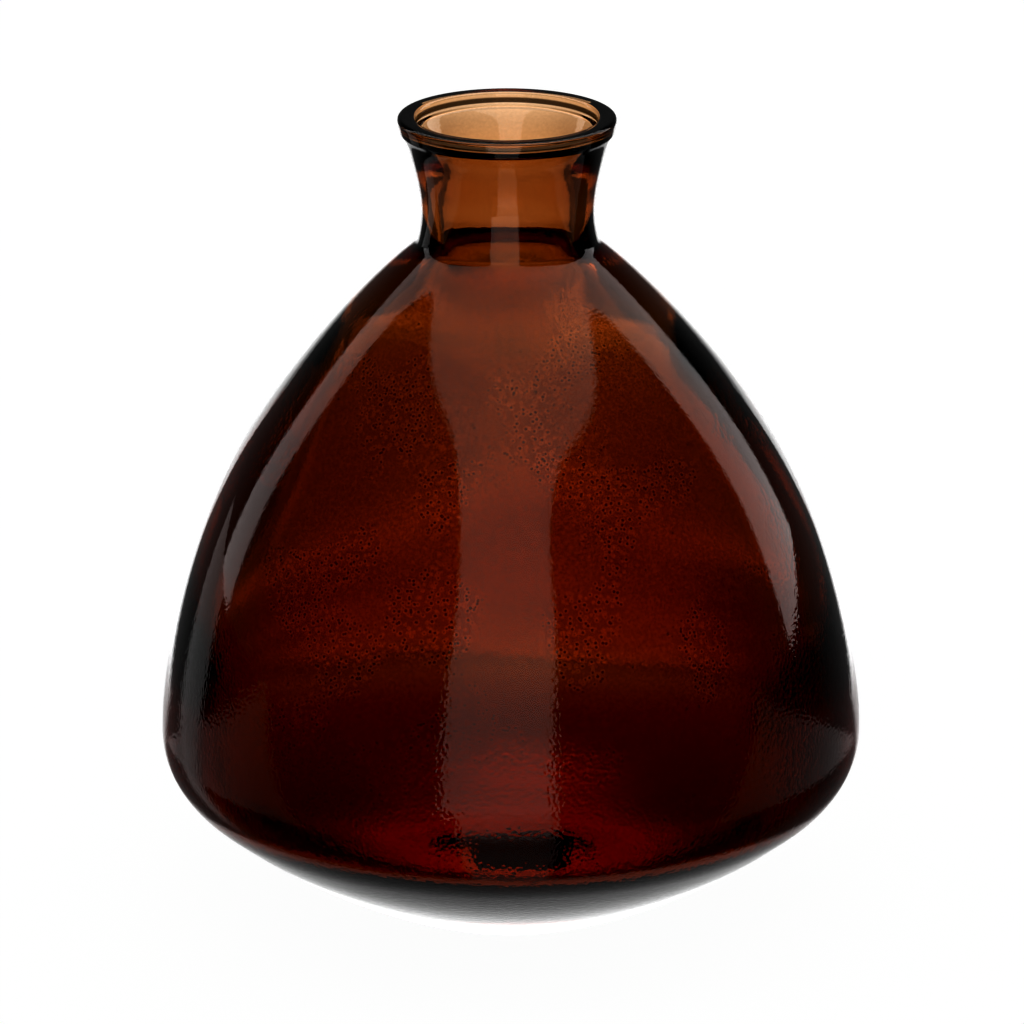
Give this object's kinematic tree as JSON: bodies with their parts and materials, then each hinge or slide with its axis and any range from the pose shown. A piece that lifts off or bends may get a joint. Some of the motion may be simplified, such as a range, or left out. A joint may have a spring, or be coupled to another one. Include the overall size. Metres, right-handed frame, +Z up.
{
  "type": "glass bud vase",
  "caption": "Hollow pear-shaped bud vase in thick amber-brown recycled glass, with a narrow waisted neck, a flared lip and a plain square label under the foot.",
  "frame": {"origin": "centre of the foot, on the plane that the vase stands on", "axes": "+Z up along the axis of the vase, from the foot to the mouth; +X and +Y are equivalent, with -Y towards the viewer of the picture"},
  "size_m": [0.16, 0.16, 0.1855],
  "materials": {
    "amber_glass": "glossy transparent amber-brown glass, tinted through its thickness, with a faintly dimpled surface and a few seeds",
    "dark_label": "matt near-black printed paper with no lettering, stuck under the foot"
  },
  "bodies": {
    "root": {"glass_vessel": "amber_glass", "base_label": "dark_label"}
  },
  "joints": []
}
